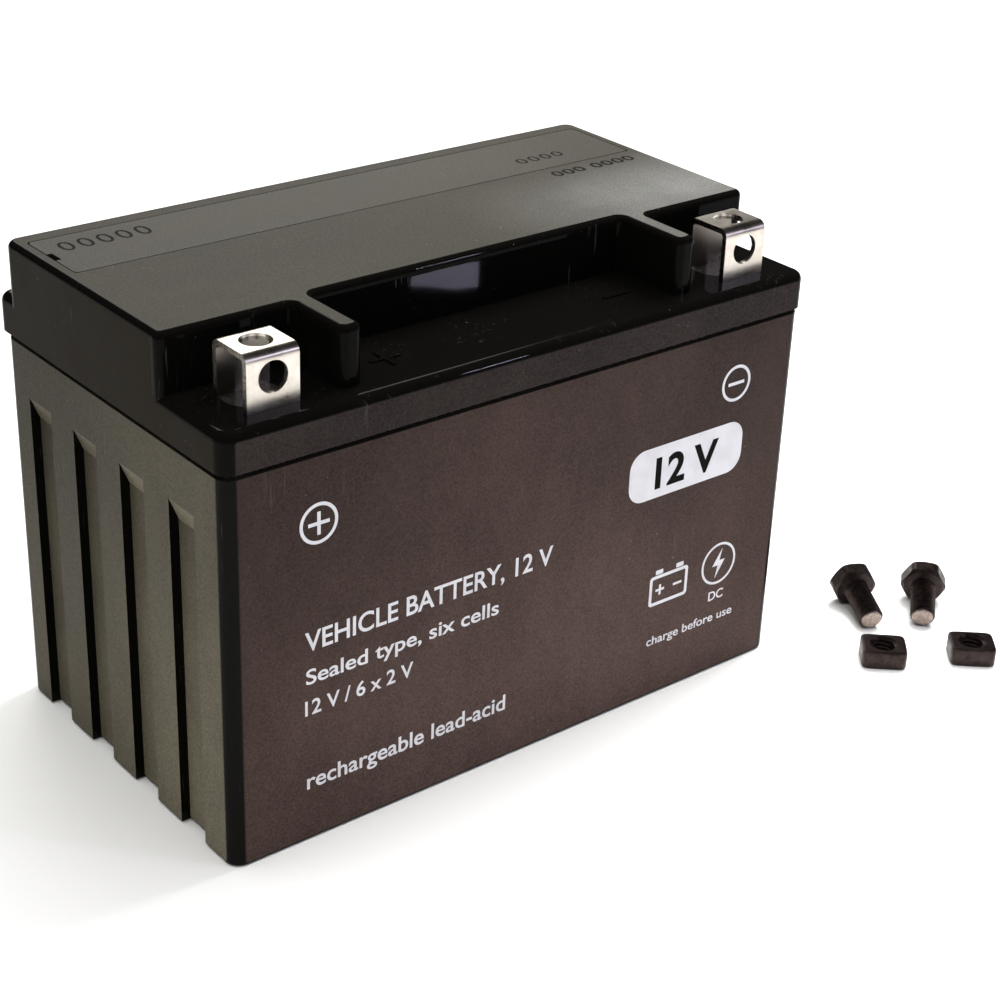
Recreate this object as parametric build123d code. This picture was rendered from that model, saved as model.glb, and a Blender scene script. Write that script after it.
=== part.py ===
from build123d import *
from math import atan, cos, degrees, radians
import os

# Sealed 12 V motorcycle battery: six cells in one moulded case, a welded-on lid with
# terminal pockets, two folded terminals, and two loose bolts and nuts beside it.
# Frame: origin at the centre of the base, +X towards the negative end, -Y out of the
# front (terminal) side, +Z up. Millimetres.

# ---- overall size ----
length = 150.0
width = 87.0
height = 108.0

# ---- case ----
case_corner_radius = 3.2
case_inset = 0.4
case_back_inset = 2.0
side_wall = 2.2
end_wall = 4.3
floor_thickness = 2.6
case_bottom_round = 0.9
cell_count = 6
partition_thickness = 1.6

# ---- grooves moulded in both end faces ----
groove_count = 4
groove_pitch = 18.5
groove_width = 9.2
groove_depth = 2.1
groove_rim_distance = 11.0
groove_ramp_height = 5.0

# ---- weld between case and lid ----
weld_height = 1.2
weld_inset = 1.4

# ---- lid ----
flange_height = 8.3
block_rise = 12.5
lid_corner_radius = 3.2
lid_wall = 2.5
flange_round = 2.0
block_back_inset = 5.0
block_corner_radius = 3.0
block_round = 1.4
terminal_back_gap = 4.5
centre_pocket_setback = 2.1
pocket_corner_radius = 1.6
divider_end_distance = 32.2
divider_thickness = 5.2
divider_front_inset = 5.2
divider_nose_radius = 1.9

# ---- polarity marks raised on the centre pocket floor ----
mark_divider_distance = 12.8
mark_front_distance = 12.6
mark_size = 7.0
mark_stroke = 0.9
mark_height = 0.3

# ---- vent strip, its recess and the valve necks below it ----
strip_end_inset = 3.0
strip_width = 20.0
strip_thickness = 1.8
strip_back_inset = 10.0
strip_clearance = 0.25
strip_ledge = 1.4
strip_corner_radius = 1.0
vent_notch_width = 4.0
vent_notch_depth = 1.2
neck_outer_diameter = 8.0
neck_bore = 4.0
neck_height = 5.0
cap_clearance = 0.1
cap_wall = 1.3
cap_skirt = 4.4
cap_crown = 1.6
cap_lift = 0.8
pad_diameter = 6.0
pad_clearance = 0.15

# ---- terminals: one strip folded over into an upside-down U ----
terminal_end_distance = 14.8
terminal_front_distance = 5.6
terminal_width = 11.6
terminal_depth = 11.4
terminal_height = 11.6
terminal_sheet = 1.2
terminal_bend_radius = 1.9
terminal_hole_diameter = 6.5
terminal_front_hole_rise = 6.3
terminal_tab_width = 6.0
terminal_tab_length = 4.5

# ---- lead posts and the resin seals around them ----
post_diameter = 10.0
post_recess = 1.2
post_cover = 1.4
seal_wall = 1.0
seal_depth = 2.2
fit_clearance = 0.05

# ---- plate stacks ----
positive_plate_thickness = 1.9
negative_plate_thickness = 1.5
separator_minimum = 0.75
stack_clearance = 0.3
plate_rim_distance = 15.4
plate_side_gap = 1.2
separator_overhang = 0.8
plate_lug_width = 8.0
plate_lug_height = 4.0

# ---- straps and connectors ----
strap_overhang = 0.5
strap_thickness = 4.0
strap_upright_thickness = 2.6
strap_upright_height = 9.6
connector_diameter = 7.0
connector_rise = 5.4

# ---- loose fasteners ----
bolt_thread_diameter = 6.0
bolt_length = 12.0
bolt_head_across_flats = 10.0
bolt_head_height = 4.0
bolt_tip_chamfer = 0.6
bolt_head_chamfer = 0.5
nut_width = 10.6
nut_side_clearance = 0.4
nut_thickness = 4.6
nut_bore = 5.2
nut_bore_chamfer = 0.6
nut_corner_radius = 1.2
nut_edge_round = 0.4
# Where each lies: right of the right end, in front of the front face, and its heading.
bolt_places = [(31.4, 1.0, -116.5), (45.9, -8.1, -138.5)]
nut_places = [(17.7, -20.6, -42.0), (36.0, -32.1, -41.0)]

# ---- derived places ----
flange_top = height - block_rise
lid_bottom = flange_top - flange_height
case_top = lid_bottom - weld_height
groove_top = case_top - groove_rim_distance
case_length = length - 2 * case_inset
case_front = -width / 2 + case_inset
case_back = width / 2 - case_back_inset
cell_front = case_front + side_wall
cell_back = case_back - side_wall
cell_left = -case_length / 2 + end_wall
cell_width = (case_length - 2 * end_wall - (cell_count - 1) * partition_thickness) / cell_count
cell_pitch = cell_width + partition_thickness
block_back = width / 2 - block_back_inset
divider_offset = length / 2 - divider_end_distance
mark_offset = divider_offset - mark_divider_distance
strip_length = length - 2 * strip_end_inset
strip_back = width / 2 - strip_back_inset
strip_front = strip_back - strip_width
strip_centre_y = (strip_front + strip_back) / 2
strip_bottom = height - strip_thickness
well_floor = flange_top
cavity_top = flange_top - lid_wall
cap_top = well_floor + neck_height + cap_crown
terminal_offset = length / 2 - terminal_end_distance
terminal_pocket_depth = terminal_front_distance + terminal_depth + terminal_back_gap
centre_pocket_depth = terminal_pocket_depth + centre_pocket_setback
terminal_front = -width / 2 + terminal_front_distance
terminal_y = terminal_front + terminal_depth / 2
terminal_back = terminal_front + terminal_depth
post_y = terminal_back + post_cover - post_diameter / 2
seal_diameter = post_diameter + 2 * seal_wall
strap_width = post_diameter + 2 * strap_overhang
plate_top = case_top - plate_rim_distance
strap_bottom = plate_top + plate_lug_height
strap_top = strap_bottom + strap_thickness
connector_z = strap_bottom + connector_rise
post_top = flange_top - post_recess
nut_height = terminal_height - terminal_sheet - nut_side_clearance
edge_margin = 0.1


def block(x0, x1, y0, y1, z0, z1):
    """A box between two corners."""
    centre = Pos((x0 + x1) / 2, (y0 + y1) / 2, (z0 + z1) / 2)
    return centre * Box(x1 - x0, y1 - y0, z1 - z0)


def rod(x, y, z0, z1, diameter):
    """An upright cylinder from z0 to z1."""
    return Pos(x, y, (z0 + z1) / 2) * Cylinder(diameter / 2, z1 - z0)


def rounded_block(x0, x1, y0, y1, z0, z1, radius):
    """A box with rounded upright edges."""
    body = block(x0, x1, y0, y1, z0, z1)
    return fillet(body.edges().filter_by(Axis.Z), radius)


def top_edges(body):
    return body.faces().sort_by(Axis.Z)[-1].edges()


def cell_start(cell):
    return cell_left + cell * cell_pitch


def partition_starts():
    return [cell_start(cell) + cell_width for cell in range(cell_count - 1)]


def end_groove(side, centre_y):
    """The cutter of one end-face groove, open below and ramped out at its top."""
    face_x = side * case_length / 2
    floor_x = face_x - side * groove_depth
    outside_x = face_x + side * groove_depth
    outline = Polyline(
        (floor_x, -1),
        (floor_x, groove_top - groove_ramp_height),
        (face_x, groove_top),
        (outside_x, groove_top),
        (outside_x, -1),
        close=True,
    )
    profile = make_face(Plane.XZ * outline)
    cutter = extrude(profile, groove_width / 2, both=True)
    return Pos(0, centre_y, 0) * cutter


def make_case():
    """The container: six cells, grooved ends, and weld holes through the partitions."""
    half = case_length / 2
    body = rounded_block(-half, half, case_front, case_back, 0, case_top, case_corner_radius)
    for side in (-1, 1):
        for index in range(groove_count):
            centre_y = (index - (groove_count - 1) / 2) * groove_pitch
            body -= end_groove(side, centre_y)
    body = fillet(body.faces().sort_by(Axis.Z)[0].outer_wire().edges(), case_bottom_round)
    for cell in range(cell_count):
        start = cell_start(cell)
        body -= block(start, start + cell_width, cell_front, cell_back, floor_thickness, case_top + 1)
    for index, start in enumerate(partition_starts()):
        body -= connector_rod(index, start, connector_diameter)
    return body


def make_weld():
    """The heat-sealed joint between case rim and lid, with a bar over each partition."""
    half = case_length / 2 - weld_inset
    radius = case_corner_radius - weld_inset
    front = case_front + weld_inset
    back = case_back - weld_inset
    body = rounded_block(-half, half, front, back, case_top, lid_bottom, radius)
    for cell in range(cell_count):
        start = cell_start(cell)
        body -= block(start, start + cell_width, cell_front, cell_back, case_top - 1, lid_bottom + 1)
    return body


def lid_block():
    """The raised rear block and the two dividers that part the three front pockets."""
    half = length / 2
    side_wall_y = -width / 2 + terminal_pocket_depth
    centre_wall_y = -width / 2 + centre_pocket_depth
    nose_y = -width / 2 + divider_front_inset
    outer = divider_offset + divider_thickness / 2
    inner = divider_offset - divider_thickness / 2
    right = [
        (inner, centre_wall_y),
        (inner, nose_y),
        (outer, nose_y),
        (outer, side_wall_y),
        (half, side_wall_y),
        (half, block_back),
    ]
    left = [(-x, y) for x, y in reversed(right)]
    outline = make_face(Polyline(*right, *left, close=True))
    body = Pos(0, 0, lid_bottom) * extrude(outline, height - lid_bottom)
    upright = body.edges().filter_by(Axis.Z)
    noses = upright.filter_by(lambda edge: edge.center().Y < nose_y + edge_margin)
    body = fillet(noses, divider_nose_radius)
    upright = body.edges().filter_by(Axis.Z)
    rear = upright.filter_by(lambda edge: edge.center().Y > block_back - edge_margin)
    body = fillet(rear, block_corner_radius)
    upright = body.edges().filter_by(Axis.Z)
    walls = upright.filter_by(lambda edge: edge.center().Y > side_wall_y - edge_margin)
    inner_walls = walls.filter_by(lambda edge: edge.center().Y < centre_wall_y + edge_margin)
    body = fillet(inner_walls, pocket_corner_radius)
    return fillet(top_edges(body), block_round)


def make_lid():
    """The lid: flange, block, pockets, cell ribs, vent well, valve necks and marks."""
    half = length / 2
    flange = rounded_block(-half, half, -width / 2, width / 2, lid_bottom, flange_top, lid_corner_radius)
    body = fillet(top_edges(flange), flange_round) + lid_block()

    # Gas space above each cell, left as ribs over the partitions.
    block_cavity_front = -width / 2 + centre_pocket_depth + lid_wall
    block_cavity_back = strip_front - lid_wall
    for cell in range(cell_count):
        start = cell_start(cell)
        end = start + cell_width
        body -= block(start, end, cell_front, cell_back, lid_bottom - 1, cavity_top)
        body -= block(start, end, block_cavity_front, block_cavity_back, lid_bottom, height - lid_wall)

    # Strip recess with its ledge, and the well below it.
    recess_half = strip_length / 2 + strip_clearance
    recess_front = strip_front - strip_clearance
    recess_back = strip_back + strip_clearance
    body -= rounded_block(
        -recess_half, recess_half, recess_front, recess_back, strip_bottom, height + 1, strip_corner_radius
    )
    well_half = strip_length / 2 - strip_ledge
    well_front = strip_front + strip_ledge
    well_back = strip_back - strip_ledge
    body -= block(-well_half, well_half, well_front, well_back, well_floor, height + 1)

    for x in cell_centres():
        body += rod(x, strip_centre_y, well_floor - 0.5, well_floor + neck_height, neck_outer_diameter)
        body -= rod(x, strip_centre_y, cavity_top - 1, well_floor + neck_height + 1, neck_bore)

    for side in (-1, 1):
        x = side * terminal_offset
        body -= rod(x, post_y, flange_top - seal_depth, flange_top + 1, seal_diameter)
        body -= rod(x, post_y, cavity_top - 1, flange_top, post_diameter + 2 * fit_clearance)

    mark_y = -width / 2 + mark_front_distance
    mark_top = flange_top + mark_height
    long_half = mark_size / 2
    thin_half = mark_stroke / 2
    for side in (-1, 1):
        x = side * mark_offset
        body += block(x - long_half, x + long_half, mark_y - thin_half, mark_y + thin_half, flange_top - 0.5, mark_top)
    x = -mark_offset
    body += block(x - thin_half, x + thin_half, mark_y - long_half, mark_y + long_half, flange_top - 0.5, mark_top)
    return body


def cell_centres():
    return [cell_start(cell) + cell_width / 2 for cell in range(cell_count)]


def make_strip():
    """The vent cover strip, with a gas notch at one end and a stop pad over each cap."""
    half = strip_length / 2
    body = rounded_block(-half, half, strip_front, strip_back, strip_bottom, height, strip_corner_radius)
    notch_half = vent_notch_width / 2
    body -= block(
        -half - 1,
        -half + vent_notch_depth,
        strip_centre_y - notch_half,
        strip_centre_y + notch_half,
        strip_bottom - 1,
        height + 1,
    )
    pad_bottom = cap_top + cap_lift + pad_clearance
    for x in cell_centres():
        body += rod(x, strip_centre_y, pad_bottom, strip_bottom + 0.5, pad_diameter)
    return body


def make_cap(x):
    """A rubber valve cap over one neck."""
    inner_diameter = neck_outer_diameter + 2 * cap_clearance
    outer_diameter = inner_diameter + 2 * cap_wall
    neck_top = well_floor + neck_height
    skirt_bottom = neck_top - cap_skirt
    body = rod(x, strip_centre_y, skirt_bottom, cap_top, outer_diameter)
    body = fillet(top_edges(body), cap_wall / 2)
    return body - rod(x, strip_centre_y, skirt_bottom - 1, neck_top, inner_diameter)


def make_terminal(side):
    """A strip folded over into front leg, top and back leg, with a tab into the post."""
    x = side * terminal_offset
    half = terminal_width / 2
    top = flange_top + terminal_height
    outer = block(x - half, x + half, terminal_front, terminal_back, flange_top, top)
    outer = fillet(top_edges(outer).filter_by(Axis.X), terminal_bend_radius)
    inner = block(
        x - half - 1,
        x + half + 1,
        terminal_front + terminal_sheet,
        terminal_back - terminal_sheet,
        flange_top - 1,
        top - terminal_sheet,
    )
    inner = fillet(top_edges(inner).filter_by(Axis.X), terminal_bend_radius - terminal_sheet)
    body = outer - inner
    hole_z = flange_top + terminal_front_hole_rise
    front_hole = Pos(x, terminal_front, hole_z) * Rot(90, 0, 0)
    body -= front_hole * Cylinder(terminal_hole_diameter / 2, 3 * terminal_sheet)
    body -= rod(x, terminal_y, top - 2 * terminal_sheet, top + 1, terminal_hole_diameter)
    tab_half = terminal_tab_width / 2
    body += block(
        x - tab_half,
        x + tab_half,
        terminal_back - terminal_sheet,
        terminal_back,
        flange_top - terminal_tab_length,
        flange_top + 0.5,
    )
    return body


def tab_slot(side):
    """The cutter that leaves room for a terminal's tab in its seal and post."""
    x = side * terminal_offset
    tab_half = terminal_tab_width / 2 + fit_clearance
    return block(
        x - tab_half,
        x + tab_half,
        terminal_back - terminal_sheet - fit_clearance,
        terminal_back + fit_clearance,
        flange_top - terminal_tab_length - fit_clearance,
        flange_top + 1,
    )


def make_seal(side):
    """The resin disc that closes the lid around a post."""
    x = side * terminal_offset
    disc = rod(x, post_y, flange_top - seal_depth, flange_top, seal_diameter - 2 * fit_clearance)
    disc -= rod(x, post_y, flange_top - seal_depth - 1, post_top, post_diameter + 2 * fit_clearance)
    return disc - tab_slot(side)


def make_post(side):
    """The lead post from an end cell's strap up through the lid."""
    x = side * terminal_offset
    return rod(x, post_y, strap_top, post_top, post_diameter) - tab_slot(side)


def stack_layout():
    """How many positive plates fit one cell, and the separator thickness that fills it."""
    room = cell_width - 2 * stack_clearance - negative_plate_thickness
    pair = positive_plate_thickness + negative_plate_thickness + 2 * separator_minimum
    positives = int(room / pair)
    plates = positives * positive_plate_thickness + positives * negative_plate_thickness
    return positives, (room - plates) / (2 * positives)


def front_is_positive(cell):
    """Cells alternate so that each connector joins opposite poles on one side."""
    return cell % 2 == 0


def strap_y(positive, cell):
    front = positive == front_is_positive(cell)
    return post_y if front else -post_y


def plates(cell, positive):
    """One polarity's plates of one cell, each with its lug."""
    positives, separator = stack_layout()
    pitch = positive_plate_thickness + negative_plate_thickness + 2 * separator
    first = cell_start(cell) + stack_clearance
    thickness = negative_plate_thickness
    count = positives + 1
    if positive:
        first += negative_plate_thickness + separator
        thickness = positive_plate_thickness
        count = positives
    lug_y = strap_y(positive, cell)
    lug_half = plate_lug_width / 2
    solids = []
    for index in range(count):
        x = first + index * pitch
        front = cell_front + plate_side_gap
        back = cell_back - plate_side_gap
        plate = block(x, x + thickness, front, back, floor_thickness, plate_top)
        plate += block(x, x + thickness, lug_y - lug_half, lug_y + lug_half, plate_top - 1, strap_bottom)
        solids.append(plate)
    return solids


def separators(cell):
    """The gelled-glass separators that fill the gaps between plates."""
    positives, thickness = stack_layout()
    pair = positive_plate_thickness + thickness + negative_plate_thickness + thickness
    start = cell_start(cell) + stack_clearance + negative_plate_thickness
    front = cell_front + plate_side_gap - separator_overhang
    back = cell_back - plate_side_gap + separator_overhang
    top = plate_top + separator_overhang
    solids = []
    for index in range(positives):
        x = start + index * pair
        second = x + thickness + positive_plate_thickness
        for left in (x, second):
            solids.append(block(left, left + thickness, front, back, floor_thickness, top))
    return solids


def make_strap(cell, positive):
    """The cast bar over one polarity's lugs, with an upright beside a partition."""
    y = strap_y(positive, cell)
    start = cell_start(cell)
    end = start + cell_width
    half = strap_width / 2
    body = block(start, end, y - half, y + half, strap_bottom, strap_top)
    upright_top = strap_bottom + strap_upright_height
    if positive and cell > 0:
        body += block(start, start + strap_upright_thickness, y - half, y + half, strap_bottom, upright_top)
    if not positive and cell < cell_count - 1:
        body += block(end - strap_upright_thickness, end, y - half, y + half, strap_bottom, upright_top)
    return body


def connector_rod(index, start, diameter):
    """The weld nugget through the partition after cell number index."""
    y = strap_y(False, index)
    return Pos(start + partition_thickness / 2, y, connector_z) * Rot(0, 90, 0) * Cylinder(
        diameter / 2, partition_thickness
    )


def make_bolt(place):
    """A hexagon-head bolt lying on the rim of its head and its tip."""
    side_distance, front_distance, heading = place
    radius = bolt_thread_diameter / 2
    corner_radius = bolt_head_across_flats / 2 / cos(radians(30))
    turned = rod(0, 0, -bolt_head_height, 0, 2 * corner_radius)
    turned = chamfer(turned.faces().sort_by(Axis.Z)[0].edges(), bolt_head_chamfer)
    hexagon = RegularPolygon(bolt_head_across_flats / 2, 6, major_radius=False)
    head = turned & (Pos(0, 0, -bolt_head_height) * extrude(hexagon, bolt_head_height))
    shank = chamfer(top_edges(rod(0, 0, 0, bolt_length, bolt_thread_diameter)), bolt_tip_chamfer)
    # Axis along +X with the bearing face at the origin and one flat downwards.
    bolt = Rot(0, 90, 0) * Rot(0, 0, 30) * (head + shank)
    drop = bolt_head_across_flats / 2 - radius
    tilt = degrees(atan(drop / (bolt_length - bolt_tip_chamfer)))
    rise = bolt_head_across_flats / 2 * cos(radians(tilt))
    x = length / 2 + side_distance
    y = -width / 2 + front_distance
    return Pos(x, y, rise) * Rot(0, 0, heading) * Rot(0, tilt, 0) * bolt


def make_nut(place):
    """A rectangular nut lying flat; it slips between a terminal's legs."""
    side_distance, front_distance, heading = place
    body = Box(nut_width, nut_height, nut_thickness, align=(Align.CENTER, Align.CENTER, Align.MIN))
    body = fillet(body.edges().filter_by(Axis.Z), nut_corner_radius)
    outer = body.faces().sort_by(Axis.Z)
    body = fillet(outer[0].edges() + outer[-1].edges(), nut_edge_round)
    body -= rod(0, 0, -1, nut_thickness + 1, nut_bore)
    circles = body.edges().filter_by(GeomType.CIRCLE)
    rims = circles.filter_by(lambda edge: abs(edge.radius - nut_bore / 2) < edge_margin)
    body = chamfer(rims, nut_bore_chamfer)
    x = length / 2 + side_distance
    y = -width / 2 + front_distance
    return Pos(x, y, 0) * Rot(0, 0, heading) * body


def save(name, *solids):
    """Write one node; a group of separate solids goes out as a compound."""
    parts = [solid for shape in solids for solid in shape.solids()]
    shape = parts[0] if len(parts) == 1 else Compound(children=parts)
    export_step(shape, f"parts/{name}.step")


os.makedirs("parts", exist_ok=True)
save("case", make_case())
save("case_lid_weld", make_weld())
save("lid", make_lid())
save("vent_cover_strip", make_strip())
for number, centre_x in enumerate(cell_centres(), start=1):
    save(f"vent_valve_cap_{number}", make_cap(centre_x))
for polarity, end_side in (("positive", -1), ("negative", 1)):
    save(f"{polarity}_terminal", make_terminal(end_side))
    save(f"{polarity}_terminal_seal", make_seal(end_side))
    save(f"{polarity}_terminal_post", make_post(end_side))
for cell_index in range(cell_count):
    prefix = f"cell_{cell_index + 1}"
    save(f"{prefix}_positive_plates", *plates(cell_index, True))
    save(f"{prefix}_negative_plates", *plates(cell_index, False))
    save(f"{prefix}_separators", *separators(cell_index))
    save(f"{prefix}_positive_strap", make_strap(cell_index, True))
    save(f"{prefix}_negative_strap", make_strap(cell_index, False))
for wall_index, wall_start in enumerate(partition_starts()):
    save(f"intercell_connector_{wall_index + 1}", connector_rod(wall_index, wall_start, connector_diameter))
for number, bolt_place in enumerate(bolt_places, start=1):
    save(f"terminal_bolt_{number}", make_bolt(bolt_place))
for number, nut_place in enumerate(nut_places, start=1):
    save(f"terminal_nut_{number}", make_nut(nut_place))
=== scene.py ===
"""Looks for a sealed six-cell motorcycle battery: materials, print, threaded fasteners, light and camera."""
import math

import bpy
from mathutils import Matrix, Vector


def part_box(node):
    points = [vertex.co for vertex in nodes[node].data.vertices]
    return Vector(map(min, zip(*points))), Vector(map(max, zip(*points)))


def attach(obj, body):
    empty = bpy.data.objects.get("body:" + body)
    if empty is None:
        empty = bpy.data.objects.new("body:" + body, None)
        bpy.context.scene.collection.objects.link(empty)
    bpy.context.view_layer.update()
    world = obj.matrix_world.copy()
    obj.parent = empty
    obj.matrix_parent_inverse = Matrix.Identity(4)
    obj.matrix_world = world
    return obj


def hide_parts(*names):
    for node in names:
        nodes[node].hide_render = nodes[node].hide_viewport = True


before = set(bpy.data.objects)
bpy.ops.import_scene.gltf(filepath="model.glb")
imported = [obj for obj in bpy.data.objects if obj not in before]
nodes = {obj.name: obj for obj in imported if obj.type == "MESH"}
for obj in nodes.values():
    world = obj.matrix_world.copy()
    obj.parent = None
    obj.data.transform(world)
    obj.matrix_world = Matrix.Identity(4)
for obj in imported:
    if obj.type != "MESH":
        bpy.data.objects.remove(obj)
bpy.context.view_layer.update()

MM = 0.001


# ------------------------------------------------------------------ shader helpers

class Finish:
    """One Principled material, with short calls for the nodes that feed it."""

    def __init__(self, name, **plain):
        self.material = bpy.data.materials.new(name)
        self.material.use_nodes = True
        self.tree = self.material.node_tree
        self.tree.nodes.clear()
        output = self.tree.nodes.new("ShaderNodeOutputMaterial")
        self.bsdf = self.tree.nodes.new("ShaderNodeBsdfPrincipled")
        self.tree.links.new(self.bsdf.outputs[0], output.inputs["Surface"])
        for socket, value in plain.items():
            self.bsdf.inputs[socket.replace("_", " ")].default_value = value
        self.place = self.tree.nodes.new("ShaderNodeTexCoord").outputs["Object"]
        self.geometry = self.tree.nodes.new("ShaderNodeNewGeometry")
        self._axes = {}

    def put(self, socket, value):
        """Connects a node output, or sets a plain value."""
        if isinstance(value, bpy.types.NodeSocket):
            self.tree.links.new(value, socket)
        else:
            socket.default_value = value

    def feed(self, name, value):
        self.put(self.bsdf.inputs[name], value)

    def math(self, operation, first, second=0.0, clamp=False):
        node = self.tree.nodes.new("ShaderNodeMath")
        node.operation = operation
        node.use_clamp = clamp
        for socket, value in zip(node.inputs, (first, second)):
            self.put(socket, value)
        return node.outputs[0]

    def times(self, first, *others):
        """The product of numbers; for masks of 0 and 1, where all of them hold."""
        for other in others:
            first = self.math("MULTIPLY", first, other)
        return first

    def over(self, value, limit):
        """1 where a value is over a limit, else 0."""
        return self.math("GREATER_THAN", value, limit)

    def under(self, value, limit):
        """1 where a value is under a limit, else 0."""
        return self.math("LESS_THAN", value, limit)

    def inverse(self, mask):
        return self.math("SUBTRACT", 1.0, mask)

    def at(self, letter):
        """The object's own coordinate along one axis, in metres."""
        return self.axis(self.place, letter)

    def from_middle(self, letter):
        return self.math("ABSOLUTE", self.at(letter))

    def axis(self, vector, letter):
        """One component of a vector or a colour."""
        key = (vector.node.name, vector.name)
        if key not in self._axes:
            node = self.tree.nodes.new("ShaderNodeSeparateXYZ")
            self.put(node.inputs[0], vector)
            self._axes[key] = node
        return self._axes[key].outputs["XYZ".index(letter)]

    def mapped(self, scale, turn=(0, 0, 0)):
        """The object's coordinates scaled and turned, so that a noise is drawn out into streaks."""
        node = self.tree.nodes.new("ShaderNodeMapping")
        self.put(node.inputs["Vector"], self.place)
        node.inputs["Scale"].default_value = scale
        node.inputs["Rotation"].default_value = turn
        return node.outputs[0]

    def noise(self, size, detail=2.0, rough=0.5, vector=None, skew=0.0):
        """A noise whose largest features are about `size` metres across."""
        node = self.tree.nodes.new("ShaderNodeTexNoise")
        self.put(node.inputs["Vector"], vector or self.place)
        node.inputs["Scale"].default_value = 1 / size
        node.inputs["Detail"].default_value = detail
        node.inputs["Roughness"].default_value = rough
        node.inputs["Distortion"].default_value = skew
        return node.outputs["Fac"]

    def cells(self, size, output="Distance"):
        """Cells about `size` metres across: the distance to each cell's point, or its random colour."""
        node = self.tree.nodes.new("ShaderNodeTexVoronoi")
        self.put(node.inputs["Vector"], self.place)
        node.inputs["Scale"].default_value = 1 / size
        return node.outputs[output]

    def span(self, value, low, high, to_low=0.0, to_high=1.0, smooth=True):
        """Maps low..high onto to_low..to_high, and holds the ends."""
        node = self.tree.nodes.new("ShaderNodeMapRange")
        node.interpolation_type = "SMOOTHSTEP" if smooth else "LINEAR"
        node.clamp = True
        for name, item in zip(("Value", "From Min", "From Max", "To Min", "To Max"),
                              (value, low, high, to_low, to_high)):
            self.put(node.inputs[name], item)
        return node.outputs[0]

    def blend(self, factor, first, second):
        """Mixes two numbers."""
        node = self.tree.nodes.new("ShaderNodeMix")
        node.data_type = "FLOAT"
        self.put(node.inputs["Factor"], factor)
        self.put(node.inputs["A"], first)
        self.put(node.inputs["B"], second)
        return node.outputs["Result"]

    def tint(self, factor, first, second):
        """Mixes two colours."""
        node = self.tree.nodes.new("ShaderNodeMix")
        node.data_type = "RGBA"
        self.put(node.inputs[0], factor)
        for socket, value in ((node.inputs[6], first), (node.inputs[7], second)):
            self.put(socket, (*value, 1.0) if isinstance(value, tuple) else value)
        return node.outputs[2]

    def scaled(self, colour, factor):
        """A colour times a number."""
        node = self.tree.nodes.new("ShaderNodeVectorMath")
        node.operation = "SCALE"
        self.put(node.inputs[0], colour)
        self.put(node.inputs["Scale"], factor)
        return node.outputs[0]

    def bump(self, height, depth, normal=None):
        """Raises the surface by height times depth, in metres."""
        node = self.tree.nodes.new("ShaderNodeBump")
        node.inputs["Strength"].default_value = 1.0
        node.inputs["Distance"].default_value = depth
        self.put(node.inputs["Height"], height)
        if normal is not None:
            self.put(node.inputs["Normal"], normal)
        return node.outputs[0]

    def facing(self, letter):
        """How squarely the surface faces along one axis, 0 to 1."""
        return self.math("ABSOLUTE", self.axis(self.geometry.outputs["Normal"], letter))

    def flatness(self, low=0.985, high=0.9985):
        """1 on the moulding's flat walls, 0 on its rounded edges."""
        squarest = self.math("MAXIMUM", self.facing("Y"), self.facing("Z"))
        squarest = self.math("MAXIMUM", self.facing("X"), squarest)
        return self.span(squarest, low, high)

    def specks(self, size, reach, share):
        """Small round dots: a `share` of the cells carry one, and `reach` is its radius in cells."""
        dot = self.under(self.cells(size), reach)
        pick = self.under(self.axis(self.cells(size, "Color"), "X"), share)
        return self.times(dot, pick)


# ------------------------------------------------------------------ materials

squarely = 0.7  # above this, a surface faces along an axis


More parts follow.
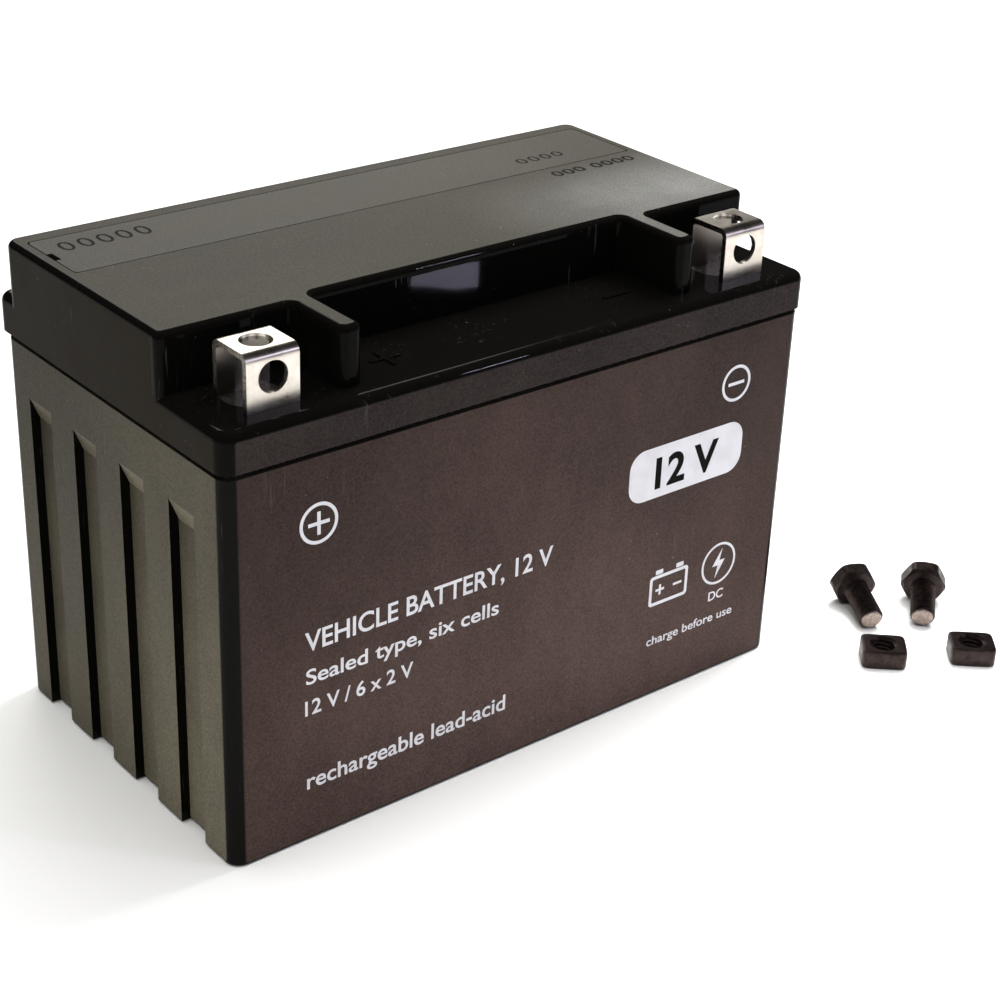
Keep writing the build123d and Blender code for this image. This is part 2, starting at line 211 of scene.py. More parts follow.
def moulded_plastic(name, satins, dark, grain_depth, satin_rough, gloss_rough, level,
                    pocket=None, groove=None):
    """Black polypropylene: etched satin on the flats, polished on the rounded edges and in the pockets.

    satins are the flats' colours on the top, the front and the ends, set lighter or darker side by side for
    the light that falls there (painted light and shade), and dark is the polished colour.
    pocket is the limits of the lid's polished pockets: two in Y, then two in Z.
    groove is where the case's end grooves begin in X and in Y, then the two heights their ramps lie between.
    """
    f = Finish(name, Specular_IOR_Level=level)
    flat = f.flatness()
    if pocket:
        front, back, low, high = pocket
        polished = f.times(f.under(f.at("Y"), back), f.over(f.at("Y"), front),
                           f.over(f.at("Z"), low), f.under(f.at("Z"), high))
        flat = f.times(flat, f.inverse(polished))
    if groove:
        face_x, front_y, ramp_low, ramp_high = groove
        # partly painted shade: the grooves' flanks take the polished finish, and its near-black colour also
        # stands for the shade inside the grooves
        flank = f.times(f.over(f.from_middle("X"), face_x), f.over(f.at("Y"), front_y),
                        f.over(f.facing("Y"), 0.8))
        flat = f.times(flat, f.inverse(flank))
        ramp = f.times(f.over(f.at("Z"), ramp_low), f.under(f.at("Z"), ramp_high),
                       f.under(f.facing("Y"), 0.05), f.over(f.facing("X"), 0.8))
        flat = f.math("MAXIMUM", flat, ramp)
        sloped = f.times(ramp, f.over(f.facing("Z"), 0.2))
    cloud = f.noise(38 * MM, 3, 0.55)
    smear = f.noise(9 * MM, 4, 0.6, f.mapped((1, 1, 0.35), (0.3, 0.5, 0.2)))
    mottle = f.math("ADD", f.times(cloud, 0.6), f.times(smear, 0.4))
    worn = f.span(mottle, 0.35, 0.68)
    scuff = f.noise(0.9 * MM, 2, 0.7, f.mapped((1, 1, 0.06), (0.15, 0.85, 0.1)), 0.3)
    scuff = f.times(f.span(scuff, 0.63, 0.72), f.span(f.noise(16 * MM, 2), 0.5, 0.66))
    dust = f.math("ADD", f.specks(2.6 * MM, 0.05, 0.35), f.specks(6.5 * MM, 0.035, 0.5), clamp=True)
    dust = f.times(dust, f.span(f.noise(22 * MM, 2), 0.38, 0.6))
    grain = f.noise(0.42 * MM, 3, 0.6)
    fine = f.noise(0.16 * MM, 1, 0.5)

    # painted light and shade: each flat takes the colour of its side, so top, front and ends of one plastic
    # read as lit differently
    top, face, end = satins
    satin = f.tint(f.over(f.facing("X"), squarely), face, end)
    if pocket:
        # painted sheen: the top is painted paler towards its front corner at the minus end, where the light
        # falls brightest
        bloom = f.times(f.span(f.at("X"), 5 * MM, 70 * MM), f.span(f.at("Y"), 16 * MM, -12 * MM))
        top = f.tint(f.times(bloom, 0.95), top, (0.120, 0.119, 0.113))
    satin = f.tint(f.over(f.facing("Z"), squarely), satin, top)
    shade = f.math("ADD", f.span(worn, 0.0, 1.0, 0.80, 1.16, smooth=False),
                   f.span(grain, 0.3, 0.7, -0.28, 0.44, smooth=False))
    if groove:
        # painted light: paler on the up-facing ramps, lower down, towards the ends' front edges and in the
        # middle of the faces, where more light falls
        shade = f.times(shade, f.math("ADD", 1.0, f.times(sloped, 0.9)))
        painted_light_low_down = f.span(f.at("Z"), 8 * MM, 88 * MM, 1.50, 0.84)
        painted_light_on_ends = f.span(f.at("Y"), -41 * MM, 30 * MM, 1.55, 0.86)
        painted_light_on_faces = f.span(f.from_middle("X"), 10 * MM, 75 * MM, 1.16, 0.86)
        shade = f.times(shade, painted_light_low_down, f.blend(f.over(f.facing("X"), squarely), painted_light_on_faces, painted_light_on_ends))
    colour = f.tint(flat, dark, f.scaled(satin, shade))
    colour = f.tint(f.times(scuff, 0.20), colour, (0.13, 0.12, 0.11))
    f.feed("Base Color", f.tint(f.times(dust, 0.45), colour, (0.26, 0.24, 0.21)))

    rough_flat = f.span(mottle, 0.3, 0.7, satin_rough - 0.05, satin_rough + 0.05)
    rough_flat = f.math("ADD", rough_flat, f.times(scuff, -0.1))
    rough_edge = f.span(smear, 0.3, 0.75, gloss_rough, 1.4 * gloss_rough)
    rough = f.blend(flat, rough_edge, rough_flat)
    f.feed("Roughness", f.math("ADD", rough, f.times(dust, 0.3), clamp=True))

    etched = f.times(f.math("ADD", grain, f.times(fine, 0.5)), flat)
    normal = f.bump(etched, grain_depth)
    normal = f.bump(f.noise(16 * MM, 1), 0.012 * MM, normal)
    f.feed("Normal", f.bump(f.math("SUBTRACT", 0.0, scuff), 0.012 * MM, normal))
    return f.material


def weld_plastic():
    """The squeezed-out line where lid and case are welded: glossy, with a ripple along it."""
    f = Finish("weld_line", Specular_IOR_Level=0.35)
    ripple = f.noise(1.1 * MM, 3, 0.6)
    colour = f.tint(f.span(ripple, 0.3, 0.7), (0.006, 0.006, 0.006), (0.016, 0.015, 0.013))
    f.feed("Base Color", colour)
    f.feed("Roughness", f.span(ripple, 0.3, 0.7, 0.16, 0.34))
    f.feed("Normal", f.bump(ripple, 0.12 * MM))
    return f.material


def nickel():
    """Bright rolled sheet: faint rolling lines, small pits, dark sheared edges, and painted shade inside the
    fold.
    """
    fold_skin = 0.6 * MM
    f = Finish("terminal_nickel_plate", Metallic=1.0)
    rolled = f.noise(0.35 * MM, 4, 0.65, f.mapped((1, 0.05, 0.05)))
    cloud = f.noise(4.5 * MM, 4, 0.6)
    pits = f.span(f.noise(0.55 * MM, 3, 0.6), 0.66, 0.75)
    sheared = f.span(f.facing("X"), 0.86, 0.97)
    tone = f.tint(f.span(cloud, 0.32, 0.7), (0.58, 0.53, 0.465), (0.74, 0.695, 0.635))
    tone = f.tint(f.times(f.span(rolled, 0.45, 0.7), 0.35), tone, (0.60, 0.55, 0.48))
    tone = f.tint(f.times(pits, 0.25), tone, (0.42, 0.37, 0.32))
    edge = f.tint(f.span(f.noise(0.6 * MM, 3, 0.7), 0.35, 0.65), (0.12, 0.105, 0.09), (0.34, 0.31, 0.27))
    tone = f.tint(sheared, tone, edge)
    # painted shade: the inner faces of the fold are darkened, where shade falls inside it
    low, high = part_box("positive_terminal")
    inside = f.times(f.over(f.at("Y"), low.y + fold_skin), f.under(f.at("Y"), high.y - fold_skin),
                     f.under(f.at("Z"), high.z - fold_skin), f.inverse(sheared))
    f.feed("Base Color", f.tint(f.times(inside, 0.8), tone, (0.10, 0.085, 0.07)))
    smooth = f.math("ADD", f.span(cloud, 0.3, 0.75, 0.27, 0.37), f.times(pits, 0.06))
    f.feed("Roughness", f.blend(sheared, smooth, 0.42))
    lines = f.bump(rolled, 0.003 * MM)
    waves = f.bump(f.noise(4.5 * MM, 1, 0.5), 0.02 * MM, lines)
    f.feed("Normal", f.bump(f.times(f.noise(0.3 * MM, 3, 0.7), sheared), 0.04 * MM, waves))
    return f.material


def cast_resin():
    """Dark potting resin round the terminal post: a meniscus gloss with a few pinholes."""
    f = Finish("seal_resin_cast", Specular_IOR_Level=0.5)
    swirl = f.noise(1.8 * MM, 3, 0.6, skew=0.6)
    holes = f.specks(0.9 * MM, 0.12, 0.4)
    colour = f.tint(f.span(swirl, 0.3, 0.7), (0.010, 0.010, 0.011), (0.030, 0.027, 0.024))
    f.feed("Base Color", f.tint(holes, colour, (0.05, 0.045, 0.04)))
    f.feed("Roughness", f.span(swirl, 0.3, 0.7, 0.12, 0.3))
    f.feed("Normal", f.bump(f.math("SUBTRACT", swirl, holes), 0.05 * MM))
    return f.material


def valve_rubber():
    """Matt moulded rubber with a bloom of talc."""
    f = Finish("valve_cap_rubber", Specular_IOR_Level=0.3, Sheen_Weight=0.25, Sheen_Roughness=0.5)
    bloom = f.noise(1.6 * MM, 4, 0.65)
    grain = f.noise(0.12 * MM, 2, 0.6)
    f.feed("Base Color", f.tint(f.span(bloom, 0.4, 0.75), (0.018, 0.018, 0.019), (0.085, 0.083, 0.078)))
    f.feed("Roughness", f.span(bloom, 0.3, 0.7, 0.62, 0.85))
    f.feed("Normal", f.bump(grain, 0.02 * MM))
    return f.material


def cast_lead():
    """Dull grey cast lead: bright where it is scraped, blue-grey oxide elsewhere, with flow ripples."""
    f = Finish("lead_cast", Metallic=1.0)
    oxide = f.noise(2.4 * MM, 5, 0.65)
    flow = f.noise(1.2 * MM, 3, 0.55, f.mapped((1, 1, 0.3)), 0.8)
    scraped = f.span(f.noise(0.7 * MM, 4, 0.7), 0.60, 0.72)
    colour = f.tint(f.span(oxide, 0.3, 0.72), (0.20, 0.205, 0.215), (0.36, 0.36, 0.365))
    f.feed("Base Color", f.tint(f.times(scraped, 0.6), colour, (0.62, 0.62, 0.63)))
    f.feed("Roughness", f.blend(scraped, f.span(oxide, 0.3, 0.7, 0.46, 0.64), 0.3))
    f.feed("Normal", f.bump(flow, 0.12 * MM))
    return f.material


def plate_paste(name, low, high, crystal):
    """Cured active paste on a cast grid: granular, with the grid's ribs just showing through."""
    f = Finish(name, Specular_IOR_Level=0.2)
    grit = f.noise(0.28 * MM, 4, 0.7)
    cloud = f.noise(7 * MM, 3, 0.6)
    rib_x = f.math("PINGPONG", f.at("Y"), 4.2 * MM)
    rib_z = f.math("PINGPONG", f.at("Z"), 2.6 * MM)
    rib = f.math("MAXIMUM", f.span(rib_x, 0.0, 0.5 * MM, 1.0, 0.0), f.span(rib_z, 0.0, 0.4 * MM, 1.0, 0.0))
    colour = f.tint(f.span(cloud, 0.3, 0.7), low, high)
    colour = f.tint(f.times(f.span(grit, 0.55, 0.7), 0.5), colour, crystal)
    f.feed("Base Color", f.tint(f.times(rib, 0.3), colour, tuple(0.5 * c for c in low)))
    f.feed("Roughness", f.span(grit, 0.3, 0.7, 0.78, 0.95))
    f.feed("Normal", f.bump(f.math("ADD", grit, f.times(rib, 1.2)), 0.10 * MM))
    return f.material


def glass_mat():
    """Felted glass fibre: two crossing sets of fine fibres, off-white, with a yellowed patch or two."""
    f = Finish("separator_glass_mat", Specular_IOR_Level=0.25, Sheen_Weight=0.4, Sheen_Roughness=0.4)
    along = f.noise(0.10 * MM, 3, 0.7, f.mapped((1, 1, 0.06), (0.4, 0, 0)), 0.4)
    across = f.noise(0.10 * MM, 3, 0.7, f.mapped((1, 0.06, 1), (0.3, 0.1, 0)), 0.4)
    fibre = f.math("MAXIMUM", along, across)
    colour = f.tint(f.span(fibre, 0.45, 0.75), (0.56, 0.54, 0.49), (0.84, 0.83, 0.79))
    f.feed("Base Color", f.tint(f.span(f.noise(9 * MM, 3), 0.55, 0.75, 0.0, 0.4), colour, (0.62, 0.55, 0.40)))
    f.feed("Roughness", f.span(fibre, 0.4, 0.8, 0.72, 0.92))
    f.feed("Normal", f.bump(fibre, 0.05 * MM))
    return f.material


def oxide_steel():
    """Blackened steel: brown-black oxide, rubbed brighter on the ends and on the crests."""
    f = Finish("fastener_black_oxide", Metallic=0.85)
    cloud = f.noise(1.6 * MM, 4, 0.65)
    rubbed = f.span(f.noise(0.5 * MM, 4, 0.7), 0.56, 0.72)
    colour = f.tint(f.span(cloud, 0.3, 0.7), (0.018, 0.012, 0.011), (0.048, 0.034, 0.031))
    f.feed("Base Color", f.tint(f.times(rubbed, 0.35), colour, (0.12, 0.095, 0.085)))
    rough = f.span(cloud, 0.3, 0.7, 0.34, 0.52)
    f.feed("Roughness", f.math("SUBTRACT", rough, f.times(rubbed, 0.08)))
    f.feed("Normal", f.bump(f.noise(0.22 * MM, 3, 0.65), 0.02 * MM))
    return f.material


def rubbed_end():
    """The bolt's cut end, where the oxide has rubbed through: turned rings and a brownish bare steel."""
    f = Finish("fastener_rubbed_end", Metallic=0.9)
    cloud = f.noise(0.9 * MM, 4, 0.65)
    rings = f.noise(0.25 * MM, 2, 0.5, skew=0.5)
    colour = f.tint(f.span(cloud, 0.3, 0.7), (0.20, 0.155, 0.135), (0.40, 0.33, 0.29))
    f.feed("Base Color", f.tint(f.span(rings, 0.5, 0.7, 0.0, 0.4), colour, (0.12, 0.09, 0.08)))
    f.feed("Roughness", f.span(cloud, 0.3, 0.7, 0.36, 0.5))
    f.feed("Normal", f.bump(rings, 0.02 * MM))
    return f.material


def white_ink():
    """Pad-printed white: slightly starved at its edges, with pinholes where the grain shows through."""
    f = Finish("print_white_ink", Specular_IOR_Level=0.3)
    cover = f.noise(0.22 * MM, 3, 0.7)
    cloud = f.noise(6 * MM, 3, 0.6)
    thin = f.times(f.span(cover, 0.62, 0.72), f.span(cloud, 0.35, 0.65, 0.25, 1.0))
    colour = f.tint(f.span(cloud, 0.3, 0.7), (0.64, 0.64, 0.68), (0.72, 0.72, 0.76))
    f.feed("Base Color", f.tint(f.times(thin, 0.5), colour, (0.35, 0.34, 0.33)))
    f.feed("Roughness", f.span(cover, 0.3, 0.7, 0.38, 0.58))
    f.feed("Normal", f.bump(cover, 0.008 * MM))
    return f.material


def stamp_gloss():
    """Heat-stamped plastic: the grain is ironed smooth, so the characters read as dark gloss."""
    f = Finish("stamp_dark_gloss", Specular_IOR_Level=0.015)
    melt = f.noise(0.35 * MM, 3, 0.6)
    f.feed("Base Color", f.tint(f.span(melt, 0.3, 0.7), (0.003, 0.003, 0.003), (0.010, 0.009, 0.008)))
    f.feed("Roughness", f.span(melt, 0.3, 0.7, 0.4, 0.6))
    f.feed("Normal", f.bump(melt, 0.03 * MM))
    return f.material


def pale_floor():
    """A plain off-white sweep with a fine tooth."""
    f = Finish("studio_floor", Specular_IOR_Level=0.1)
    soft = f.noise(0.5, 2)
    f.feed("Base Color", f.tint(f.span(soft, 0.3, 0.7), (0.90, 0.90, 0.895), (0.92, 0.92, 0.915)))
    f.feed("Roughness", f.span(soft, 0.3, 0.7, 0.85, 0.92))
    f.feed("Normal", f.bump(f.noise(2 * MM, 2), 0.02 * MM))
    return f.material


lid_low, lid_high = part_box("lid")
case_low, case_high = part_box("case")
strip_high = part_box("vent_cover_strip")[1]
edge_margin = 0.3 * MM
pocket_back = -19.5 * MM
flange_top = 95.2 * MM
lid_pocket = (lid_low.y + edge_margin, pocket_back, flange_top, lid_high.z - 0.4 * MM)
groove_depth = 2.6 * MM
corner_width = 3.0 * MM
case_groove = (case_high.x - groove_depth, case_low.y + corner_width, 60 * MM, 80 * MM)

polished = (0.003, 0.0028, 0.0025)
# painted light and shade: each triple gives one plastic three colours, for its top, its front and its ends,
# set lighter or darker for the light that falls on each side
case_satins_lit_per_side = ((0.050, 0.046, 0.038), (0.0475, 0.0308, 0.0265), (0.043, 0.0385, 0.0280))
lid_satins_lit_per_side = ((0.034, 0.0320, 0.0255), (0.026, 0.0205, 0.0190), (0.0060, 0.0040, 0.0010))
strip_satins_lit_per_side = ((0.036, 0.0340, 0.0275), (0.02, 0.018, 0.016), (0.02, 0.018, 0.015))
red_lead = ((0.062, 0.027, 0.016), (0.095, 0.042, 0.024), (0.16, 0.08, 0.05))
sponge_lead = ((0.11, 0.115, 0.125), (0.17, 0.175, 0.185), (0.30, 0.30, 0.31))

finishes = {
    "case_plastic": moulded_plastic("case_black_pp", case_satins_lit_per_side, polished, 0.030 * MM, 0.50, 0.08, 0.05,
                                    groove=case_groove),
    "lid_plastic": moulded_plastic("lid_black_pp", lid_satins_lit_per_side, polished, 0.026 * MM, 0.46, 0.015, 0.03,
                                   pocket=lid_pocket),
    "strip_plastic": moulded_plastic("strip_black_pp", strip_satins_lit_per_side, (0.004, 0.004, 0.003), 0.024 * MM,
                                     0.44, 0.08, 0.05),
    "weld_plastic": weld_plastic(),
    "terminal_nickel": nickel(),
    "seal_resin": cast_resin(),
    "valve_rubber": valve_rubber(),
    "cast_lead": cast_lead(),
    "positive_paste": plate_paste("positive_plate_paste", *red_lead),
    "negative_paste": plate_paste("negative_plate_paste", *sponge_lead),
    "separator_mat": glass_mat(),
    "fastener_steel": oxide_steel(),
}
for node in nodes.values():
    for holder in node.material_slots:
        holder.material = finishes[holder.material.name.split(".")[0]]


# ------------------------------------------------------------------ mesh helpers

ring_count = 96  # points round a fastener
fastener_crease = 38  # degrees; a larger angle between faces is a sharp edge


def add_mesh(name, points, faces, material, smooth_under):
    """A mesh object in metres from points in millimetres."""
    mesh = bpy.data.meshes.new(name)
    mesh.from_pydata([Vector(p) * MM for p in points], [], faces)
    mesh.validate()
    mesh.materials.append(material)
    piece = bpy.data.objects.new(name, mesh)
    bpy.context.scene.collection.objects.link(piece)
    for face in mesh.polygons:
        face.use_smooth = True
    mesh.set_sharp_from_angle(angle=math.radians(smooth_under))
    return piece


def loft(rings, closed=False):
    """Joins rings of equal count with quads, then joins the last to the first, or caps both ends."""
    count = len(rings[0])
    points = [p for ring in rings for p in ring]
    faces = []
    pairs = [(r, r + 1) for r in range(len(rings) - 1)]
    if closed:
        pairs.append((len(rings) - 1, 0))
    for low, high in pairs:
        for i in range(count):
            j = (i + 1) % count
            faces.append((low * count + i, low * count + j, high * count + j, high * count + i))
    if not closed:
        faces.append(tuple(reversed(range(count))))
        faces.append(tuple(range((len(rings) - 1) * count, len(rings) * count)))
    return points, faces


def ring_at(radius, z):
    """A ring of points; radius may be a function of the turn (0 to 1), and z of turn and radius."""
    points = []
    for i in range(ring_count):
        turn = i / ring_count
        r = radius(turn) if callable(radius) else radius
        height = z(turn, r) if callable(z) else z
        points.append((r * math.cos(math.tau * turn), r * math.sin(math.tau * turn), height))
    return points


def thread_radius(turn, z, pitch, minor, major):
    """A 60 degree thread's radius at one point, with a flat crest and a flat root."""
    phase = (z / pitch - turn) % 1.0
    from_crest = min(phase, 1 - phase)
    crest, root = 1 / 16, 1 / 8
    ramp = (from_crest - crest) / (0.5 - crest - root)
    return major - (major - minor) * min(1.0, max(0.0, ramp))


def hex_outline(across_flats):
    """A hexagon's radius as a function of the turn."""
    half = across_flats / 2
    return lambda turn: half / math.cos((math.tau * turn) % (math.pi / 3) - math.pi / 6)


def bolt_mesh(name, material, end_material):
    """An M6 x 12 hexagon bolt along +Z, head below zero and the bearing face at zero."""
    flats, head, length = 10.0, 4.0, 12.0
    pitch, major, minor = 1.0, 3.0, 2.45
    rounded_corner = 5.5
    neck = 2.90
    hexagon = hex_outline(flats)

    def outline(turn):
        return min(hexagon(turn), rounded_corner)

    # the head's shallow dish and its bevelled top, its flats, and the washer face under it
    bevel = math.tan(math.radians(26))
    chamfer_radius = flats / 2 - 0.35
    rings = [ring_at(chamfer_radius * share, -head + lift)
             for share, lift in ((0.30, 0.10), (0.78, 0.10), (0.84, 0.0), (0.97, 0.0))]
    rings.append(ring_at(chamfer_radius + 0.05, -head + 0.01))
    rings.append(ring_at(outline, lambda t, r: -head + 0.04 + (r - chamfer_radius) * bevel))
    rings.append(ring_at(outline, lambda t, r: -0.25 - (r - 4.9) * 0.75))
    rings += [ring_at(r, z) for r, z in ((4.85, -0.16), (4.70, 0.0), (3.35, 0.0), (3.06, 0.10), (neck, 0.35))]

    # the thread, which fades in over its first turn
    steps = 16
    start, end = 0.7, length - 0.75
    total = int((end - start) * steps / pitch)
    for row in range(total + 1):
        z = start + row * pitch / steps
        runout = min(1.0, max(0.0, (z - start) / pitch))

        def radius(turn, z=z, runout=runout):
            cut = thread_radius(turn, z, pitch, minor, major)
            return cut + (neck - cut) * (1 - runout) * 0.9
        rings.append(ring_at(radius, z))

    # the point's chamfer, and the cut end with its small centre dimple
    point_start = length - 0.31
    for z, limit in ((length - 0.6, 2.86), (length - 0.3, 2.56), (length - 0.02, 2.28)):
        def cut_point(turn, z=z, limit=limit):
            return min(limit, thread_radius(turn, z, pitch, minor, major))
        rings.append(ring_at(cut_point, z))
    rings += [ring_at(r, z) for r, z in ((2.1, length), (1.3, length - 0.10), (0.5, length - 0.12))]
    points, faces = loft(rings)
    bolt = add_mesh(name, points, faces, material, fastener_crease)
    bolt.data.materials.append(end_material)
    for face in bolt.data.polygons:
        if face.center.z > point_start * MM:
            face.material_index = 1
    return bolt


def nut_mesh(name, size, material):
    """A flat rectangular M6 nut, lying flat with its bore upright and its base at zero."""
    width, depth, height = size
    pitch, major, minor = 1.0, 3.0, 2.55
    edge = 0.5  # the outer edges' rounding
    lead_in = 0.55  # from each face to the first full thread
    squareness = 7  # the power of the rounded rectangle

    def block(inset):
        half_w, half_d = width / 2 - inset, depth / 2 - inset

        def radius(turn):
            c, s = math.cos(math.tau * turn), math.sin(math.tau * turn)
            return ((abs(c) / half_w) ** squareness + (abs(s) / half_d) ** squareness) ** (-1 / squareness)
        return radius

    # up the bore, out over the top, down the outside and back in under the base
    rings = []
    steps = 12
    start, end = lead_in, height - lead_in
    total = int((end - start) * steps / pitch)
    for row in range(total + 1):
        z = start + (end - start) * row / total
        rings.append(ring_at(lambda t, z=z: minor + major - thread_radius(t, z, pitch, minor, major), z))
    mouth = ((3.02, 0.30), (3.28, 0.0), (3.50, 0.0))
    side = ((edge + 0.15, 0.0), (edge, 0.01), (edge * 0.3, edge * 0.3), (0.0, edge))
    rings += [ring_at(r, height - lift) for r, lift in mouth]
    rings += [ring_at(block(inset), height - lift) for inset, lift in side]
    rings += [ring_at(block(inset), lift) for inset, lift in reversed(side)]
    rings += [ring_at(r, lift) for r, lift in reversed(mouth)]
    points, faces = loft(rings, closed=True)
    return add_mesh(name, points, faces, material, fastener_crease)


def settle(piece, turn, node, body):
    """Turns a piece, puts its box on the CAD node's box, and lets it ride there."""
    piece.data.transform(turn)
    low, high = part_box(node)
    xs, ys, zs = zip(*(v.co for v in piece.data.vertices))
    centre = Vector(((min(xs) + max(xs)) / 2, (min(ys) + max(ys)) / 2, min(zs)))
    target = Vector(((low.x + high.x) / 2, (low.y + high.y) / 2, low.z))
    piece.data.transform(Matrix.Translation(target - centre))
    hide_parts(node)
    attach(piece, body)


# ------------------------------------------------------------------ fasteners lying beside the case

bare_end = rubbed_end()
bolt_tilt = math.atan(2.0 / 11.4)  # one flat's rim and the shank's tip both touch the ground
for number, heading in ((1, -116.5), (2, -138.5)):
    bolt = bolt_mesh(f"hex_bolt_m6_{number}", finishes["fastener_steel"], bare_end)
    lay = Matrix.Rotation(math.radians(heading), 4, "Z") @ Matrix.Rotation(math.pi / 2 + bolt_tilt, 4, "Y")
    turn = lay @ Matrix.Rotation(math.radians(30), 4, "Z")
    settle(bolt, turn, f"terminal_bolt_{number}", f"bolt_{number}")

nut_size = (10.6, 9.0, 4.6)
for number, heading in ((1, -42.0), (2, -41.0)):
    nut = nut_mesh(f"block_nut_m6_{number}", nut_size, finishes["fastener_steel"])
    settle(nut, Matrix.Rotation(math.radians(heading), 4, "Z"), f"terminal_nut_{number}", f"nut_{number}")


# ------------------------------------------------------------------ print on the front, stamps on the lid

ink = white_ink()
stamp = stamp_gloss()
front_y = case_low.y / MM
ink_depth = 0.03
font_capital_height = 0.729  # of the built-in font at size 1


def circle(x, z, radius, count=72):
    """A circle's outline, with x and z in millimetres on the face, as in the shapes below."""
    return [(x + radius * math.cos(math.tau * i / count), z + radius * math.sin(math.tau * i / count))
            for i in range(count)]


def rounded(x, z, width, height, radius):
    """A rounded rectangle's outline."""
    points = []
    for quarter, (sx, sz) in enumerate(((1, 1), (-1, 1), (-1, -1), (1, -1))):
        for step in range(9):
            angle = math.pi / 2 * (quarter + step / 8)
            points.append((x + sx * (width / 2 - radius) + radius * math.cos(angle),
                           z + sz * (height / 2 - radius) + radius * math.sin(angle)))
    return points


def cross(x, z, span, stroke):
    """A plus sign's outline."""
    a, b = span / 2, stroke / 2
    return [(x + u, z + v) for u, v in ((a, b), (b, b), (b, a), (-b, a), (-b, b), (-a, b),
                                        (-a, -b), (-b, -b), (-b, -a), (b, -a), (b, -b), (a, -b))]


def flash(x, z, height):
    """A plain zigzag spark."""
    outline = ((0.12, 0.5), (-0.26, -0.06), (-0.03, -0.06), (-0.12, -0.5), (0.26, 0.10), (0.03, 0.10))
    return [(x + height * u, z + height * v) for u, v in outline]


def shape_curve(name, loops):
    """A filled flat curve in millimetres; a loop inside another is a hole."""
    curve = bpy.data.curves.new(name, "CURVE")
    curve.dimensions = "2D"
    curve.fill_mode = "BOTH"
    for loop in loops:
        spline = curve.splines.new("POLY")
        spline.points.add(len(loop) - 1)
        for point, (u, v) in zip(spline.points, loop):
            point.co = (u, v, 0, 1)
        spline.use_cyclic_u = True
    return curve


def text_curve(name, text, weight, gap=1.0):
    """Text in the built-in font; weight thickens the strokes and gap spaces the characters."""
    curve = bpy.data.curves.new(name, "FONT")
    curve.body = text
    curve.offset = weight
    curve.space_character = gap
    return curve


def solid_from(curve, thickness):
    """The curve's mesh, extruded by half the thickness to each side."""
    curve.extrude = thickness / 2
    holder = bpy.data.objects.new(curve.name + "_outline", curve)
    bpy.context.scene.collection.objects.link(holder)
    bpy.context.view_layer.update()
    solid = bpy.data.meshes.new_from_object(holder)
    bpy.data.objects.remove(holder)
    return solid


def printed(name, curve, material, frame_matrix, box=None):
    """Makes a flat curve into a thin solid; box is (left, base, width, capital height) for text."""
    if box is None:
        solid = solid_from(curve, ink_depth)
    else:
        left, base, width, capitals = box
        outline = solid_from(curve, 0.0)
        us = [v.co.x for v in outline.vertices]
        low_u, wide = min(us), max(us) - min(us)
        bpy.data.meshes.remove(outline)
        scale_u, scale_v = width / wide, capitals / font_capital_height
        solid = solid_from(curve, ink_depth / scale_v)
        for v in solid.vertices:
            v.co = ((v.co.x - low_u) * scale_u + left, v.co.y * scale_v + base, v.co.z * scale_v)
    solid.transform(Matrix.Scale(MM, 4))
    solid.transform(frame_matrix)
    solid.name = name
    solid.materials.clear()
    solid.materials.append(material)
    for face in solid.polygons:
        face.use_smooth = False
    piece = bpy.data.objects.new(name, solid)
    bpy.context.scene.collection.objects.link(piece)
    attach(piece, "battery")


on_front = Matrix.Translation((0, front_y * MM, 0)) @ Matrix.Rotation(math.pi / 2, 4, "X")

plus_mark = [circle(-53.9, 72.0, 4.4), circle(-53.9, 72.0, 3.68), cross(-53.9, 72.0, 4.9, 0.78)]
minus_mark = [circle(56.1, 73.3, 4.3), circle(56.1, 73.3, 3.6), rounded(56.1, 73.3, 4.8, 0.75, 0.05)]
badge = [rounded(42.8, 57.8, 33.6, 12.4, 4.2)]
battery_sign = [rounded(40.3, 27.6, 11.6, 7.6, 0.9), rounded(40.3, 27.6, 10.0, 6.0, 0.4),
                rounded(37.2, 32.2, 2.2, 1.1, 0.2), rounded(43.4, 32.2, 2.2, 1.1, 0.2),
                cross(37.7, 27.6, 2.6, 0.6), rounded(43.0, 27.6, 2.6, 0.6, 0.05)]
spark_sign = [circle(55.8, 28.5, 5.3), circle(55.8, 28.5, 4.7), flash(55.8, 28.5, 7.4)]
for name, loops in (("plus_mark", plus_mark), ("minus_mark", minus_mark), ("badge", badge),
                    ("battery_sign", battery_sign), ("spark_sign", spark_sign)):
    printed(f"print_{name}", shape_curve(name, loops), ink, on_front)

# each line's name, text, (left, base, width, capital height) and weight
lines = (("print_line_1", "VEHICLE BATTERY, 12 V", (-57.3, 44.6, 62.6, 4.5), 0.014),
         ("print_line_2", "Sealed type, six cells", (-57.1, 37.1, 48.2, 3.5), 0.014),
         ("print_line_3", "12 V / 6 x 2 V", (-57.4, 30.0, 26.4, 3.5), 0.014),
         ("print_line_4", "rechargeable lead-acid", (-57.1, 12.5, 51.0, 3.9), 0.014),
         ("print_small_line", "charge before use", (34.8, 13.6, 26.8, 2.3), 0.012),
         ("print_dc", "DC", (53.5, 19.2, 4.6, 2.4), 0.014))
for name, text, box, weight in lines:
    printed(name, text_curve(name, text, weight), ink, on_front, box)
on_badge = Matrix.Translation((0, -ink_depth * MM, 0)) @ on_front
badge_text = text_curve("badge_text", "12 V", 0.03)
printed("print_badge_text", badge_text, stamp, on_badge, (33.6, 54.0, 18.6, 7.4))

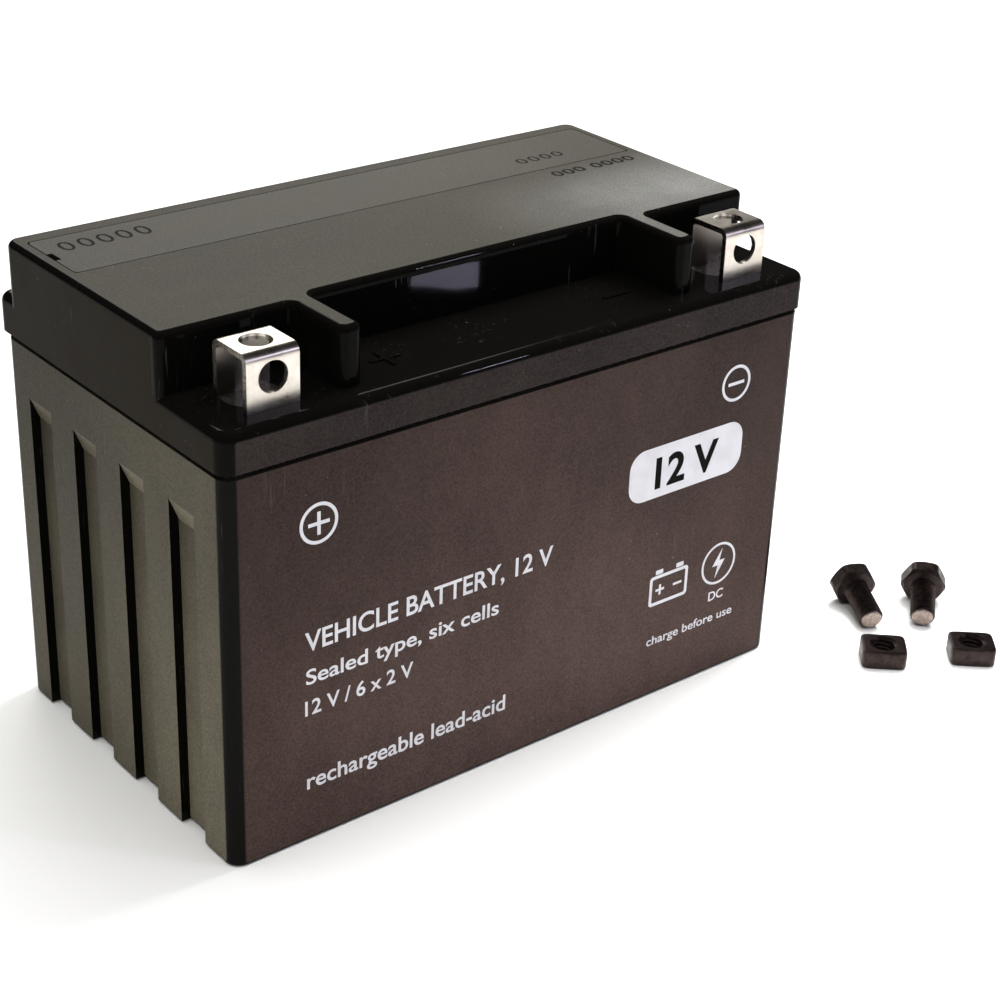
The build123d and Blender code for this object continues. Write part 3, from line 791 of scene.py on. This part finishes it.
on_strip = Matrix.Translation((0, 0, strip_high.z))
on_lid = Matrix.Translation((0, 0, lid_high.z))
stamps = (("stamp_left", "00000", 0.0, 1.25, on_strip, (-68.0, 25.2, 20.5, 5.2)),
          ("stamp_right", "0000", 0.0, 1.2, on_strip, (44.5, 18.9, 13.0, 3.4)),
          ("stamp_ink", "000 0000", 0.02, 1.1, on_lid, (45.5, 7.6, 24.0, 3.2)))
for name, text, weight, gap, place, box in stamps:
    printed(name, text_curve(name, text, weight, gap), stamp, place, box)


# ------------------------------------------------------------------ floor, light, camera

floor_radius = 40  # metres
floor_sides = 64
floor_turns = [math.tau * i / floor_sides for i in range(floor_sides)]
floor_points = [(floor_radius * math.cos(turn), floor_radius * math.sin(turn), 0) for turn in floor_turns]
floor_mesh = bpy.data.meshes.new("studio_floor")
floor_mesh.from_pydata(floor_points, [], [tuple(range(floor_sides))])
floor_mesh.materials.append(pale_floor())
floor = bpy.data.objects.new("studio_floor", floor_mesh)
bpy.context.scene.collection.objects.link(floor)

world = bpy.data.worlds.new("studio")
world.use_nodes = True
background = world.node_tree.nodes["Background"]
background.inputs["Color"].default_value = (1.0, 0.985, 0.96, 1)
background.inputs["Strength"].default_value = 0.03
bpy.context.scene.world = world


def toward(azimuth, elevation):
    """A unit vector; azimuth is measured in degrees from +Y towards +X, elevation from the ground."""
    a, e = math.radians(azimuth), math.radians(elevation)
    return Vector((math.sin(a) * math.cos(e), math.cos(a) * math.cos(e), math.sin(e)))


def softbox(name, way, distance, size, power, colour=(1, 1, 1), aim=(0, 0, 70), mirror=True):
    """A rectangular soft light, `way` from the point it aims at; size is in metres and aim in millimetres.

    With mirror off, glossy surfaces don't show it.
    """
    light = bpy.data.lights.new(name, "AREA")
    light.shape = "RECTANGLE"
    light.size, light.size_y = size
    light.energy = power
    light.color = colour
    lamp = bpy.data.objects.new(name, light)
    lamp.location = Vector(aim) * MM + way * distance
    lamp.rotation_euler = (-way).to_track_quat("-Z", "Y").to_euler()
    lamp.visible_glossy = mirror
    bpy.context.scene.collection.objects.link(lamp)


softbox("overhead_fill", toward(0, 90), 3.0, (4.0, 4.0), 142, mirror=False)
softbox("back_box", toward(28, 29), 2.2, (1.1, 0.9), 12.5, (1.0, 0.98, 0.93))
softbox("right_top_box", toward(80, 50), 0.34, (0.24, 0.24), 2.6, (1.0, 0.99, 0.97), (50, -10, 100), False)
softbox("left_box", toward(-100, 10), 0.6, (0.30, 0.30), 1.8, (1.0, 0.97, 0.86), (-75, -45, 20), False)
flash_aim = (7.9, -39.3, 96.5)
softbox("front_flash", toward(142.064, 20.917), 1.5, (0.062, 0.024), 2.8, (0.80, 0.77, 1.0), flash_aim)

camera_data = bpy.data.cameras.new("camera")
camera_data.lens = 74.86
camera_data.sensor_width = 36
camera_data.clip_start = 0.01
camera_data.clip_end = 200
camera = bpy.data.objects.new("camera", camera_data)
camera_aim = Vector((12.6, -16.3, 46.1)) * MM
camera_distance = 0.460
roll = math.radians(2.25)
look = toward(39.81, -27.08)
camera.location = camera_aim - look * camera_distance
camera.rotation_mode = "QUATERNION"
camera.rotation_quaternion = look.to_track_quat("-Z", "Y") @ Matrix.Rotation(roll, 4, "Z").to_quaternion()
bpy.context.scene.collection.objects.link(camera)
bpy.context.scene.camera = camera
bpy.context.scene.view_settings.view_transform = "Standard"

bpy.context.view_layer.update()
